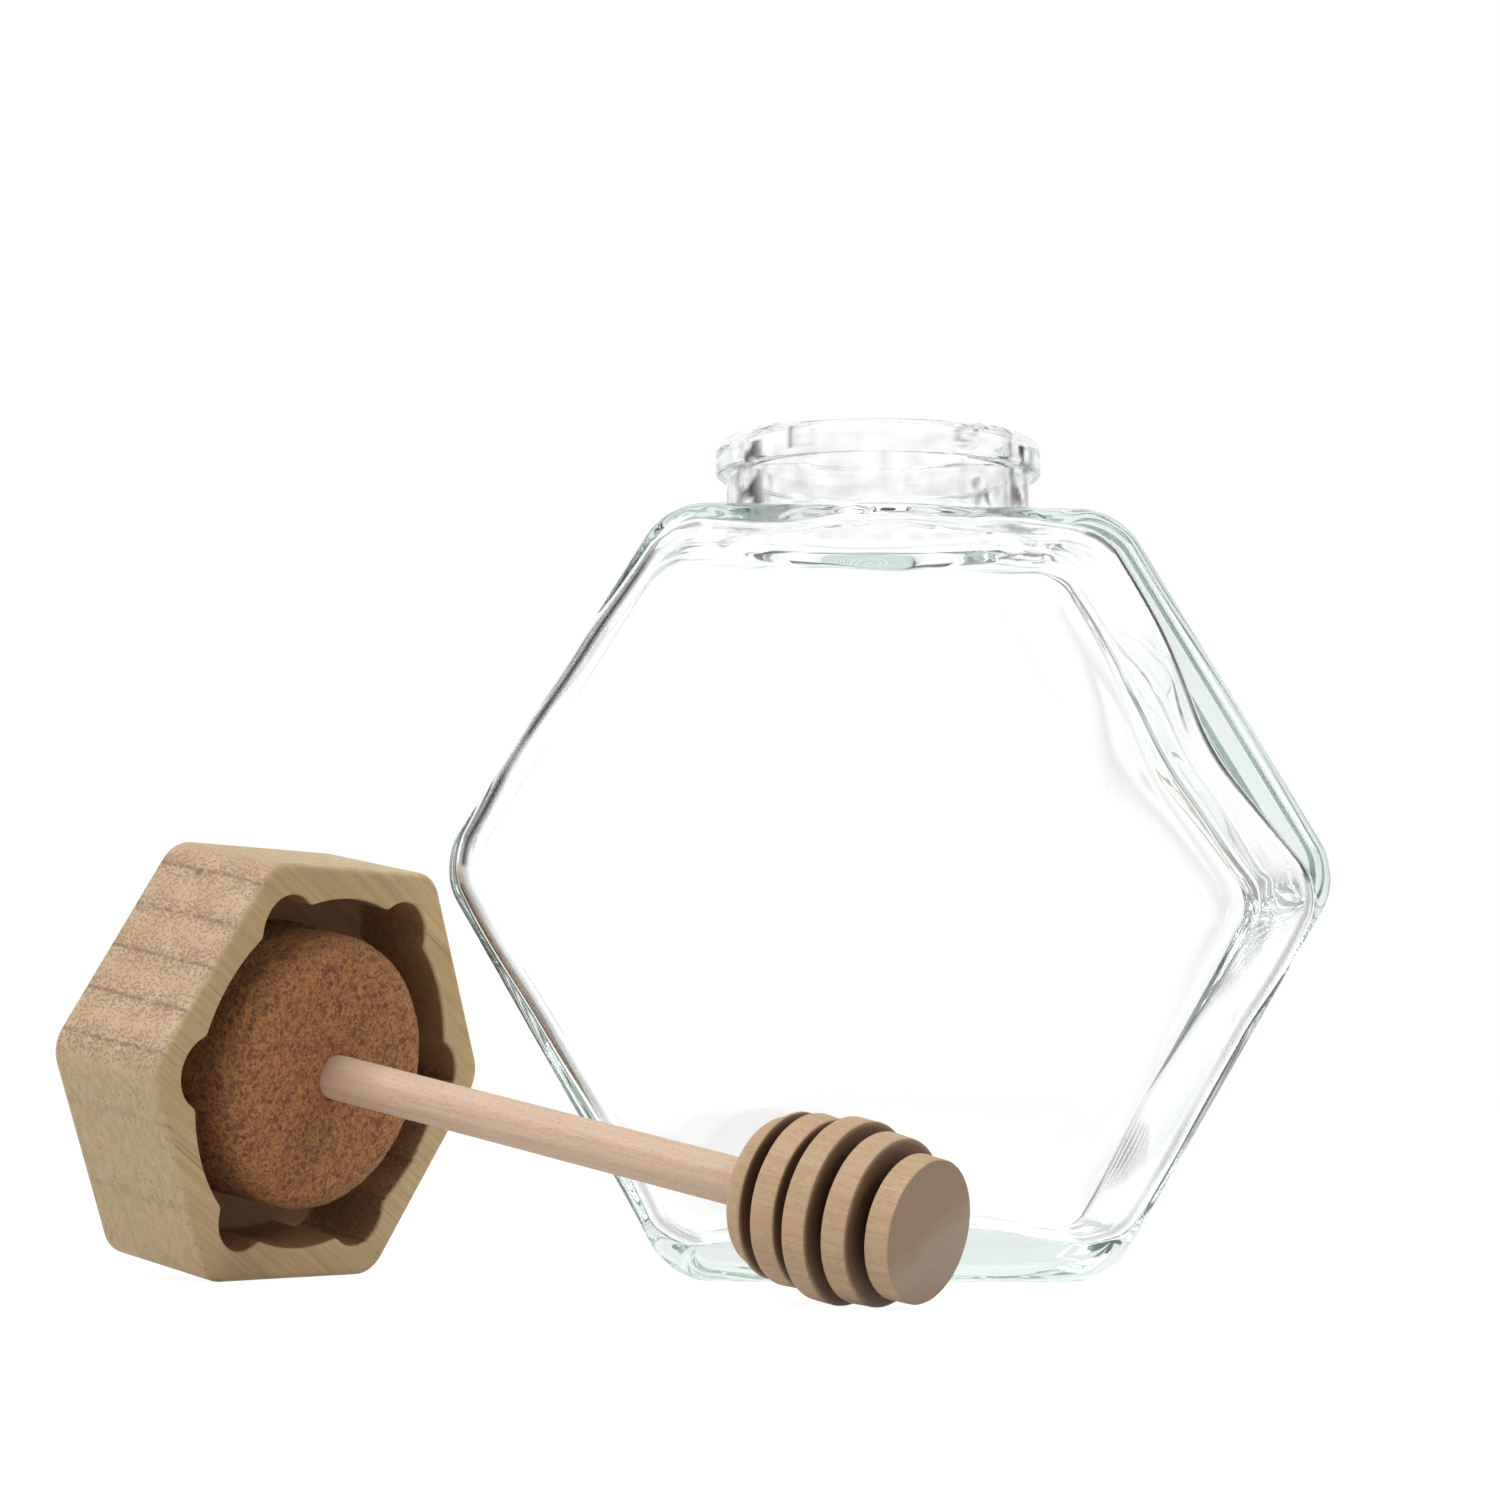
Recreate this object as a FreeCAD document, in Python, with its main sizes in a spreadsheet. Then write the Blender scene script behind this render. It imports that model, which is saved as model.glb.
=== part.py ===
"""Hexagonal glass honey jar with its bamboo lid, cork stopper and turned honey dipper.

The jar stands on its base, empty and open. The lid has been taken off and lies beside the jar on
the same surface, tipped forward: the lower front edge of the lid and the dipper's widest disc
touch down together.

Frame: millimetres, +Z up, origin at the centre of the jar's flat base. The jar's two large
hexagonal faces look along -Y and +Y. The lid, cork and dipper are drawn in a frame of their own,
with its origin at the centre of the lid's opening and +Z running out along the dipper.
"""

import FreeCAD, Part
import math
import os
import Sketcher

SIZES = {
    # glass body: along Y it is a hexagon, a little wider at the shoulder than at the base
    "body_height": 105.0,
    "side_corner_height": 55.0,
    "side_corner_reach": 61.3,
    "shoulder_half": 30.9,
    "base_half": 29.3,
    "body_depth": 56.0,
    "corner_round": 9.0,
    "face_round": 3.5,
    "wall": 3.0,
    "floor_thickness": 5.0,
    "shoulder_thickness": 3.4,
    "inner_face_round": 4.5,
    "pushup_radius": 17.0,
    "pushup_rise": 1.8,
    # neck with its rolled bead, sized from the cork that plugs it
    "neck_height": 13.0,
    "neck_wall": 2.7,
    "neck_root_round": 1.4,
    "bead_overhang": 1.6,
    "bead_height": 5.1,
    "bead_top_round": 2.0,
    "bead_foot_round": 0.7,
    "lip_bevel": 0.7,
    "bore_flare": 1.2,
    # bamboo lid: a hexagon hollowed to slip over the bead
    "lid_rim": 4.2,
    "lid_top": 6.8,
    "lid_corner_round": 5.0,
    "lid_edge_round": 1.1,
    "cavity_depth": 12.5,
    "bead_play": 0.35,
    "lobe_radius": 4.8,
    "lobe_overreach": 3.0,
    "cusp_round": 0.8,
    "rim_round": 0.4,
    # cork stopper, standing on the floor of the lid's cavity
    "cork_tip_radius": 18.6,
    "cork_taper": 0.3,
    "cork_play": 0.1,
    "cork_proud": 2.0,
    "cork_rim_round": 4.0,
    # dipper: a rod glued into the cork, and five discs turned on its end
    "rod_radius": 3.0,
    "rod_play": 0.05,
    "rod_hole_depth": 9.0,
    "head_start": 74.2,
    "disc_thickness": 3.3,
    "groove_width": 1.8,
    "groove_floor_radius": 4.6,
    "disc_bevel": 0.3,
    "head_shoulder_round": 1.5,
    # where the lid lies: its gap to the jar's side corner, how far its opening stands behind the
    # jar's front face, and its turn about +Z
    "lid_gap": 0.4,
    "opening_setback": 5.0,
    "lid_turn": 51.0,
}
# back and front radius of each disc, from the rod's side to the free end
DISC_RADII = [(9.4, 10.3), (10.6, 10.4), (11.2, 11.2), (10.4, 10.2), (8.8, 8.7)]
HEX_SIDES = 6
CUT_MARGIN = 1.0
TOLERANCE = 1e-4

doc = FreeCAD.newDocument("HoneyJar")
sheet = doc.addObject("Spreadsheet::Sheet", "Sizes")
for disc, (back, front) in enumerate(DISC_RADII, start=1):
    SIZES[f"disc_{disc}_back"] = back
    SIZES[f"disc_{disc}_front"] = front
for row, (alias, number) in enumerate(SIZES.items(), start=1):
    sheet.set(f"A{row}", alias)
    sheet.set(f"B{row}", str(number))
    sheet.setAlias(f"B{row}", alias)
doc.recompute()

# ---------------------------------------------------------------- sizes worked out from the sheet

LIP_TOP = "(Sizes.body_height + Sizes.neck_height)"
BEAD_FOOT = f"({LIP_TOP} - Sizes.bead_height)"
CEILING = "(Sizes.body_height - Sizes.shoulder_thickness)"
CORK_ROOT_RADIUS = "(Sizes.cork_tip_radius + Sizes.cork_taper)"
BORE_RADIUS = f"({CORK_ROOT_RADIUS} + Sizes.cork_play)"
NECK_RADIUS = f"({BORE_RADIUS} + Sizes.neck_wall)"
BEAD_RADIUS = f"({NECK_RADIUS} + Sizes.bead_overhang)"
CAVITY_RADIUS = f"({BEAD_RADIUS} + Sizes.bead_play)"
LID_HALF_FLATS = f"({CAVITY_RADIUS} + Sizes.lid_rim)"
CORK_HOLE_FLOOR = "(Sizes.cork_proud - Sizes.rod_hole_depth)"
DISC_PITCH = "(Sizes.disc_thickness + Sizes.groove_width)"


def value(expression):
    """Number that an expression on the sheet's sizes stands for."""
    return float(sheet.evalExpression(expression))


def disc_back(disc):
    """Place of a disc's rear face along the dipper."""
    return f"(Sizes.head_start + {disc - 1} * {DISC_PITCH})"


# ---------------------------------------------------------------- sketches


def new_sketch(body, role, name):
    """Empty sketch on one of the body's own origin planes."""
    sketch = body.newObject("Sketcher::SketchObject", name)
    plane = next(item for item in body.Origin.OriginFeatures if item.Role == role)
    sketch.AttachmentSupport = [(plane, "")]
    sketch.MapMode = "FlatFace"
    return sketch


def tie(sketch, kind, *where, to):
    """Drive one dimension of a sketch by an expression."""
    index = sketch.addConstraint(Sketcher.Constraint(kind, *where, value(to)))
    name = f"{kind}_{index}"
    sketch.renameConstraint(index, name)
    sketch.setExpression(f"Constraints.{name}", to)


def outline(sketch, corners, bulges=None, helper=False):
    """Closed outline run anticlockwise through corners, each an (across, up) pair of expressions.

    bulges holds, by a side's number, the radius of an arc and whether it bends outward.
    """
    bulges = bulges or {}
    points = [FreeCAD.Vector(value(across), value(up), 0) for across, up in corners]
    sides = []
    ends = []
    for index, (start, end) in enumerate(zip(points, points[1:] + points[:1])):
        radius, outward = bulges.get(index, (None, True))
        side = bent_side(start, end, value(radius), outward) if radius else Part.LineSegment(start, end)
        sides.append(sketch.addGeometry(side, helper))
        # an arc is stored anticlockwise, so one that bends inward begins at its far end
        ends.append((1, 2) if outward else (2, 1))
    for index, side in enumerate(sides):
        following = (index + 1) % len(sides)
        meeting = (side, ends[index][1], sides[following], ends[following][0])
        sketch.addConstraint(Sketcher.Constraint("Coincident", *meeting))
        across, up = corners[index]
        tie(sketch, "DistanceX", -1, 1, side, ends[index][0], to=across)
        tie(sketch, "DistanceY", -1, 1, side, ends[index][0], to=up)
    for index, (radius, outward) in bulges.items():
        tie(sketch, "Radius", sides[index], to=radius)
    return sides


def bent_side(start, end, radius, outward):
    """Arc from start to end that bends to the right of its travel, or else to the left."""
    chord = end - start
    sagitta = radius - math.sqrt(max(radius**2 - (chord.Length / 2) ** 2, 0))
    right = FreeCAD.Vector(chord.y, -chord.x, 0).normalize()
    if not outward:
        right = -right
    return Part.Arc(start, (start + end) / 2 + right * sagitta, end)


def inset(sketch, sides, depths):
    """Closed outline inside another one, each side parallel to its own at its own depth."""
    lines = []
    for side, depth in zip(sides, depths):
        edge = sketch.Geometry[side]
        along = (edge.EndPoint - edge.StartPoint).normalize()
        inward = FreeCAD.Vector(-along.y, along.x, 0)
        lines.append((edge.StartPoint + inward * value(depth), along))
    points = [crossing(before, line) for before, line in zip(lines[-1:] + lines[:-1], lines)]
    inner = [
        sketch.addGeometry(Part.LineSegment(start, end), False)
        for start, end in zip(points, points[1:] + points[:1])
    ]
    for line, following in zip(inner, inner[1:] + inner[:1]):
        sketch.addConstraint(Sketcher.Constraint("Coincident", line, 2, following, 1))
    for line, side, depth in zip(inner, sides, depths):
        sketch.addConstraint(Sketcher.Constraint("Parallel", side, line))
        tie(sketch, "Distance", line, 1, side, to=depth)


def crossing(first, second):
    """Point where two lines, each a point and a direction, meet."""
    (start, along), (other, across) = first, second
    gap = other - start
    turn = along.x * across.y - along.y * across.x
    return start + along * ((gap.x * across.y - gap.y * across.x) / turn)


def circle(sketch, centre_x, radius):
    """Circle whose centre lies on the sketch's horizontal axis."""
    centre = FreeCAD.Vector(value(centre_x), 0, 0)
    ring = sketch.addGeometry(Part.Circle(centre, FreeCAD.Vector(0, 0, 1), value(radius)), False)
    tie(sketch, "DistanceX", -1, 1, ring, 3, to=centre_x)
    tie(sketch, "DistanceY", -1, 1, ring, 3, to="0 * Sizes.wall")
    tie(sketch, "Radius", ring, to=radius)


# ---------------------------------------------------------------- features


def pad(body, sketch, length, midplane=False, reversed=False):
    feature = body.newObject("PartDesign::Pad", f"{sketch.Name}_pad")
    feature.Profile = sketch
    feature.Midplane = midplane
    feature.Reversed = reversed
    feature.setExpression("Length", length)
    doc.recompute()
    return feature


def pocket(body, sketch, depth):
    """Pocket below a sketch on the body's XY plane."""
    feature = body.newObject("PartDesign::Pocket", f"{sketch.Name}_pocket")
    feature.Profile = sketch
    feature.setExpression("Length", depth)
    doc.recompute()
    return feature


def turned(body, sketch, kind="Revolution"):
    """Full turn of a sketch about its vertical axis, added or, as a Groove, taken away."""
    feature = body.newObject(f"PartDesign::{kind}", f"{sketch.Name}_turned")
    feature.Profile = sketch
    feature.ReferenceAxis = (sketch, ["V_Axis"])
    feature.Angle = 360.0
    doc.recompute()
    return feature


def fillet(body, name, picks, radius):
    """Round those edges of the body's last feature that the test picks."""
    base = body.Tip
    edges = [f"Edge{number}" for number, edge in enumerate(base.Shape.Edges, 1) if picks(edge)]
    feature = body.newObject("PartDesign::Fillet", name)
    feature.Base = (base, edges)
    feature.setExpression("Radius", radius)
    doc.recompute()
    return feature


def near(one, other):
    return abs(one - other) < TOLERANCE


def runs_along(edge, axis):
    """Whether an edge is straight and parallel to an axis."""
    if not isinstance(edge.Curve, Part.Line):
        return False
    return near(abs(edge.Curve.Direction.dot(axis)), 1)


def rings_at(height, radius=None):
    """Test for level edges at a height and, if given, of one radius about the Z axis."""

    def picks(edge):
        box = edge.BoundBox
        if not (near(box.ZMin, value(height)) and near(box.ZMax, value(height))):
            return False
        if radius is None:
            return True
        return isinstance(edge.Curve, Part.Circle) and near(edge.Curve.Radius, value(radius))

    return picks


# ---------------------------------------------------------------- glass jar

ALONG_Y = FreeCAD.Vector(0, 1, 0)
ALONG_Z = FreeCAD.Vector(0, 0, 1)
BODY_CORNERS = [
    ("-Sizes.base_half", "0 * Sizes.wall"),
    ("Sizes.base_half", "0 * Sizes.wall"),
    ("Sizes.side_corner_reach", "Sizes.side_corner_height"),
    ("Sizes.shoulder_half", "Sizes.body_height"),
    ("-Sizes.shoulder_half", "Sizes.body_height"),
    ("-Sizes.side_corner_reach", "Sizes.side_corner_height"),
]


def at_faces(depth):
    """Test for edges that lie in the front or back plane of a block centred on Y."""

    def picks(edge):
        box = edge.BoundBox
        return near(box.YMin, box.YMax) and near(abs(box.YMin), value(depth) / 2)

    return picks


def glass_outside():
    """Outer form of the jar: the moulded hexagon, the neck and its bead, all solid."""
    body = doc.addObject("PartDesign::Body", "glass_outside")
    hexagon = new_sketch(body, "XZ_Plane", "body_outline")
    outline(hexagon, BODY_CORNERS)
    pad(body, hexagon, "Sizes.body_depth", midplane=True)
    fillet(body, "body_corners", lambda edge: runs_along(edge, ALONG_Y), "Sizes.corner_round")
    fillet(body, "body_faces", at_faces("Sizes.body_depth"), "Sizes.face_round")
    neck = new_sketch(body, "XZ_Plane", "neck_profile")
    neck_foot = f"({NECK_RADIUS} + Sizes.neck_root_round)"
    outline(
        neck,
        [
            ("0 * Sizes.wall", CEILING),
            (neck_foot, CEILING),
            (neck_foot, "Sizes.body_height"),
            (NECK_RADIUS, "Sizes.body_height + Sizes.neck_root_round"),
            (NECK_RADIUS, BEAD_FOOT),
            (f"{BEAD_RADIUS} - Sizes.bead_foot_round", BEAD_FOOT),
            (BEAD_RADIUS, f"{BEAD_FOOT} + Sizes.bead_foot_round"),
            (BEAD_RADIUS, f"{LIP_TOP} - Sizes.bead_top_round"),
            (f"{BEAD_RADIUS} - Sizes.bead_top_round", LIP_TOP),
            ("0 * Sizes.wall", LIP_TOP),
        ],
        bulges={
            2: ("Sizes.neck_root_round", False),
            5: ("Sizes.bead_foot_round", True),
            7: ("Sizes.bead_top_round", True),
        },
    )
    turned(body, neck)
    return body


def glass_inside():
    """Hollow of the jar: a smaller hexagon with a pushed-up floor, and the bore of the neck."""
    body = doc.addObject("PartDesign::Body", "glass_inside")
    hexagon = new_sketch(body, "XZ_Plane", "hollow_outline")
    sides = outline(hexagon, BODY_CORNERS, helper=True)
    wall = "Sizes.wall"
    inset(hexagon, sides, ["Sizes.floor_thickness", wall, wall, "Sizes.shoulder_thickness", wall, wall])
    hollow_depth = "(Sizes.body_depth - 2 * Sizes.wall)"
    pad(body, hexagon, hollow_depth, midplane=True)
    inner_corner = "Sizes.corner_round - Sizes.wall"
    fillet(body, "hollow_corners", lambda edge: runs_along(edge, ALONG_Y), inner_corner)
    fillet(body, "hollow_faces", at_faces(hollow_depth), "Sizes.inner_face_round")
    pushup = new_sketch(body, "XZ_Plane", "pushup_profile")
    floor = "Sizes.floor_thickness"
    dome_radius = "(Sizes.pushup_radius ^ 2 + Sizes.pushup_rise ^ 2) / (2 * Sizes.pushup_rise)"
    below = f"Sizes.floor_thickness - {CUT_MARGIN}"
    outline(
        pushup,
        [
            ("0 * Sizes.wall", below),
            ("Sizes.pushup_radius", below),
            ("Sizes.pushup_radius", floor),
            ("0 * Sizes.wall", f"{floor} + Sizes.pushup_rise"),
        ],
        bulges={2: (dome_radius, True)},
    )
    turned(body, pushup, "Groove")
    bore = new_sketch(body, "XZ_Plane", "bore_profile")
    root_radius = f"{BORE_RADIUS} + Sizes.bore_flare"
    mouth_radius = f"{BORE_RADIUS} + Sizes.lip_bevel"
    outline(
        bore,
        [
            ("0 * Sizes.wall", f"{CEILING} - Sizes.bore_flare"),
            (root_radius, f"{CEILING} - Sizes.bore_flare"),
            (root_radius, CEILING),
            (BORE_RADIUS, f"{CEILING} + Sizes.bore_flare"),
            (BORE_RADIUS, f"{LIP_TOP} - Sizes.lip_bevel"),
            (mouth_radius, LIP_TOP),
            (mouth_radius, f"{LIP_TOP} + {CUT_MARGIN}"),
            ("0 * Sizes.wall", f"{LIP_TOP} + {CUT_MARGIN}"),
        ],
        bulges={2: ("Sizes.bore_flare", False), 4: ("Sizes.lip_bevel", False)},
    )
    turned(body, bore)
    return body


def glass_jar():
    """The jar itself: its outer form less its hollow."""
    jar = doc.addObject("Part::Cut", "glass_jar")
    jar.Base = glass_outside()
    jar.Tool = glass_inside()
    jar.Label = "glass_jar"
    return jar


# ---------------------------------------------------------------- lid, cork and dipper


def bamboo_lid():
    """Hexagonal bamboo block, cut out to pass the bead, with a round relief at each corner."""
    body = doc.addObject("PartDesign::Body", "bamboo_lid")
    hexagon = new_sketch(body, "XY_Plane", "lid_outline")
    corner_radius = f"{LID_HALF_FLATS} * 2 / sqrt(3)"
    corners = []
    for side in range(HEX_SIDES):
        turn = side * 360 / HEX_SIDES
        corners.append((f"{corner_radius} * cos({turn})", f"{corner_radius} * sin({turn})"))
    outline(hexagon, corners)
    pad(body, hexagon, "Sizes.cavity_depth + Sizes.lid_top", reversed=True)
    fillet(body, "lid_corners", lambda edge: runs_along(edge, ALONG_Z), "Sizes.lid_corner_round")
    lid_rims = (rings_at("0 * Sizes.wall"), rings_at("-(Sizes.cavity_depth + Sizes.lid_top)"))
    fillet(body, "lid_edges", lambda edge: any(rim(edge) for rim in lid_rims), "Sizes.lid_edge_round")
    cavity = new_sketch(body, "XY_Plane", "cavity_outline")
    circle(cavity, "0 * Sizes.wall", CAVITY_RADIUS)
    pocket(body, cavity, "Sizes.cavity_depth")
    lobe = new_sketch(body, "XY_Plane", "lobe_outline")
    circle(lobe, f"{CAVITY_RADIUS} + Sizes.lobe_overreach - Sizes.lobe_radius", "Sizes.lobe_radius")
    first_lobe = pocket(body, lobe, "Sizes.cavity_depth")
    lobes = body.newObject("PartDesign::PolarPattern", "lobes")
    lobes.Originals = [first_lobe]
    axis = next(item for item in body.Origin.OriginFeatures if item.Role == "Z_Axis")
    lobes.Axis = (axis, [""])
    lobes.Angle = 360.0
    lobes.Occurrences = HEX_SIDES
    body.Tip = lobes
    doc.recompute()
    fillet(body, "cavity_cusps", cavity_cusp, "Sizes.cusp_round")
    fillet(body, "cavity_rim", cavity_rim, "Sizes.rim_round")
    return body


def cavity_cusp(edge):
    """Whether an edge is an upright ridge where a lobe meets the round of the cavity."""
    distance = math.hypot(edge.CenterOfMass.x, edge.CenterOfMass.y)
    return runs_along(edge, ALONG_Z) and near(distance, value(CAVITY_RADIUS))


def cavity_rim(edge):
    """Whether an edge belongs to the mouth of the cavity."""
    farthest = max(math.hypot(vertex.X, vertex.Y) for vertex in edge.Vertexes)
    inside = farthest < value(f"{LID_HALF_FLATS} - Sizes.lid_edge_round") - TOLERANCE
    return rings_at("0 * Sizes.wall")(edge) and inside


def cork_stopper():
    """Round cork, slightly tapered, with a soft rim and a blind hole for the rod."""
    body = doc.addObject("PartDesign::Body", "cork_stopper")
    profile = new_sketch(body, "XZ_Plane", "cork_profile")
    hole_radius = "Sizes.rod_radius + Sizes.rod_play"
    outline(
        profile,
        [
            ("0 * Sizes.wall", "-Sizes.cavity_depth"),
            (CORK_ROOT_RADIUS, "-Sizes.cavity_depth"),
            ("Sizes.cork_tip_radius", "Sizes.cork_proud"),
            (hole_radius, "Sizes.cork_proud"),
            (hole_radius, CORK_HOLE_FLOOR),
            ("0 * Sizes.wall", CORK_HOLE_FLOOR),
        ],
    )
    turned(body, profile)
    rim = rings_at("Sizes.cork_proud", "Sizes.cork_tip_radius")
    fillet(body, "cork_rim", rim, "Sizes.cork_rim_round")
    return body


def honey_dipper():
    """Beech dipper in one piece: the rod, then discs with grooves turned between them."""
    body = doc.addObject("PartDesign::Body", "honey_dipper")
    profile = new_sketch(body, "XZ_Plane", "dipper_profile")
    corners = [("0 * Sizes.wall", CORK_HOLE_FLOOR), ("Sizes.rod_radius", CORK_HOLE_FLOOR)]
    foot_radius = "Sizes.rod_radius"
    for disc in range(1, len(DISC_RADII) + 1):
        back = disc_back(disc)
        front = f"{back} + Sizes.disc_thickness"
        corners += [
            (foot_radius, back),
            (f"Sizes.disc_{disc}_back - Sizes.disc_bevel", back),
            (f"Sizes.disc_{disc}_back", f"{back} + Sizes.disc_bevel"),
            (f"Sizes.disc_{disc}_front", f"{front} - Sizes.disc_bevel"),
            (f"Sizes.disc_{disc}_front - Sizes.disc_bevel", front),
        ]
        foot_radius = "Sizes.groove_floor_radius"
        if disc < len(DISC_RADII):
            corners.append((foot_radius, front))
    corners.append(("0 * Sizes.wall", front))
    outline(profile, corners)
    turned(body, profile)
    shoulder = rings_at(f"{disc_back(1)} + Sizes.disc_bevel", "Sizes.disc_1_back")
    fillet(body, "head_shoulder", shoulder, "Sizes.head_shoulder_round")
    return body


def resting_tilt():
    """Angle in radians by which the lid tips forward until a disc of the head touches down.

    The lid rolls on its rounded lower front edge. Each rim of a disc has a tilt at which it would
    meet the surface, and the first to get there stops the roll.
    """
    lid_round = value("Sizes.lid_edge_round")
    tilts = []
    for disc in range(1, len(DISC_RADII) + 1):
        back = f"{disc_back(disc)} + Sizes.disc_bevel"
        front = f"{disc_back(disc)} + Sizes.disc_thickness - Sizes.disc_bevel"
        for side, place in (("back", back), ("front", front)):
            drop = value(f"{LID_HALF_FLATS} - Sizes.disc_{disc}_{side}") - lid_round
            run = value(place) + lid_round
            reach = math.hypot(drop, run)
            tilts.append(math.acos(-lid_round / reach) - math.atan2(run, drop))
    return min(tilts)


def lying_lid_placement():
    """Placement that lays the lid's own frame down beside the jar.

    The height puts the lid's rounded lower front edge on the surface. The place across puts the
    upper front corner nearest the jar at the stated gap from the jar's side corner.
    """
    tilt = resting_tilt()
    turn = math.radians(value("Sizes.lid_turn"))
    half_flats = value(LID_HALF_FLATS)
    lid_round = value("Sizes.lid_edge_round")
    sideways = FreeCAD.Vector(math.cos(turn), math.sin(turn), 0)
    level = FreeCAD.Vector(math.sin(turn), -math.cos(turn), 0)
    outward = level * math.cos(tilt) - ALONG_Z * math.sin(tilt)
    upward = level * math.sin(tilt) + ALONG_Z * math.cos(tilt)
    upper_corner = sideways * (half_flats / math.sqrt(3)) + upward * half_flats
    across = -value("Sizes.side_corner_reach + Sizes.lid_gap") - upper_corner.x
    back = value("Sizes.opening_setback - Sizes.body_depth / 2")
    height = (half_flats - lid_round) * math.cos(tilt) + lid_round * (1 - math.sin(tilt))
    rotation = FreeCAD.Rotation(sideways, upward, outward, "ZXY")
    return FreeCAD.Placement(FreeCAD.Vector(across, back, height), rotation)


# ---------------------------------------------------------------- build, check and write

pieces = [glass_jar(), bamboo_lid(), cork_stopper(), honey_dipper()]
for lying in pieces[1:]:
    lying.Placement = lying_lid_placement()
doc.recompute()

for item in doc.Objects:
    if {"Invalid", "Error"} & set(item.State):
        raise RuntimeError(f"{item.Label} did not build: {item.State}")
for piece in pieces:
    if piece.Shape.isNull() or not piece.Shape.isValid():
        raise RuntimeError(f"{piece.Label} has no valid shape")

os.makedirs("parts", exist_ok=True)
for piece in pieces:
    piece.Shape.exportStep(f"parts/{piece.Label}.step")
    box = piece.Shape.optimalBoundingBox()
    print(f"{piece.Label}: {piece.Shape.Volume / 1000:.2f} cm3, {len(piece.Shape.Solids)} solid, "
          f"x {box.XMin:.2f}..{box.XMax:.2f}, y {box.YMin:.2f}..{box.YMax:.2f}, z {box.ZMin:.2f}..{box.ZMax:.2f}")
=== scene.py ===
import bmesh
import bpy
import math
from mathutils import Matrix, Vector, noise


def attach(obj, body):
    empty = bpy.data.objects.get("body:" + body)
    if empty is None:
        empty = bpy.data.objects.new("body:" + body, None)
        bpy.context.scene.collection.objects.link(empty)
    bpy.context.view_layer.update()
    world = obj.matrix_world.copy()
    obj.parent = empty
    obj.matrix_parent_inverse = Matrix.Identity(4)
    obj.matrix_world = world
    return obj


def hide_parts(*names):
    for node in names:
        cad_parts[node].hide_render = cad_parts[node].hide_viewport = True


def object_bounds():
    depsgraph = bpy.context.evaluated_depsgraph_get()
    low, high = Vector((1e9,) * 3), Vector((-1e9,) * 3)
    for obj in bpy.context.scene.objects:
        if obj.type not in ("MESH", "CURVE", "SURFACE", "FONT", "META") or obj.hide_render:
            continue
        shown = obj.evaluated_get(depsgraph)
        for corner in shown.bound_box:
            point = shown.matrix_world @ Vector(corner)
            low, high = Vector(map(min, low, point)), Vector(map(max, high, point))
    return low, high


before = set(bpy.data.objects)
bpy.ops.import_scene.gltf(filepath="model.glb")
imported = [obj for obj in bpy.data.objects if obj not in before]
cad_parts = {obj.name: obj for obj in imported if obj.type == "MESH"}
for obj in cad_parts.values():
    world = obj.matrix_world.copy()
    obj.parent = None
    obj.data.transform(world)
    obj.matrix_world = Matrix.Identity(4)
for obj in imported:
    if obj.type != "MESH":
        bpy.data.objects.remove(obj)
cad_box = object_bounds()

# ---- Camera ------------------------------------------------------------------------------------
# A long lens on a low tripod, half a metre in front of the jar and a little to its left. It looks
# slightly up, so the neck is seen from just below its bead.

mm = 0.001
lens_spot = Vector((-45.06, -501.91, 25.96)) * mm
lens_yaw, lens_pitch, lens_roll = (math.radians(angle) for angle in (3.076, 5.413, 0.406))
ahead = Vector((math.sin(lens_yaw) * math.cos(lens_pitch), math.cos(lens_yaw) * math.cos(lens_pitch),
                math.sin(lens_pitch)))
level_right = Vector((math.cos(lens_yaw), -math.sin(lens_yaw), 0))
level_up = level_right.cross(ahead)
lens_right = level_right * math.cos(lens_roll) + level_up * math.sin(lens_roll)
lens_up = level_up * math.cos(lens_roll) - level_right * math.sin(lens_roll)

camera = bpy.data.objects.new("camera", bpy.data.cameras.new("camera"))
camera.data.sensor_width = 36
camera.data.lens = 85.217
camera.data.clip_start, camera.data.clip_end = 0.01, 50
camera.matrix_world = Matrix.LocRotScale(lens_spot, Matrix((lens_right, lens_up, -ahead)).transposed(), None)
bpy.context.scene.collection.objects.link(camera)
bpy.context.scene.camera = camera
bpy.context.scene.view_settings.view_transform = "Standard"
# light crosses the jar's walls many times on its way along them
for kind_of_bounce in ("max_bounces", "transmission_bounces", "glossy_bounces"):
    setattr(bpy.context.scene.cycles, kind_of_bounce, 32)


# ---- Studio ------------------------------------------------------------------------------------
# A white sweep lit by a large soft lamp high on the left, a smaller one on the right and even fill
# from all round. The glass also sees black cards that stand round the set, which draw its edges.

def new_material(name):
    """Material with an empty node tree and an output; gives the material, its nodes and its linker."""
    material = bpy.data.materials.new(name)
    material.use_nodes = True
    nodes = material.node_tree.nodes
    nodes.clear()
    output = nodes.new("ShaderNodeOutputMaterial")
    return material, nodes, material.node_tree.links.new, output


def calculate(nodes, link, operation, first, second=None, third=None, clamp=False):
    """Math node on numbers or sockets; gives its result."""
    node = nodes.new("ShaderNodeMath")
    node.operation = operation
    node.use_clamp = clamp
    for socket, source in zip(node.inputs, (first, second, third)):
        if source is None:
            continue
        if isinstance(source, (int, float)):
            socket.default_value = source
        else:
            link(source, socket)
    return node.outputs[0]


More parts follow.
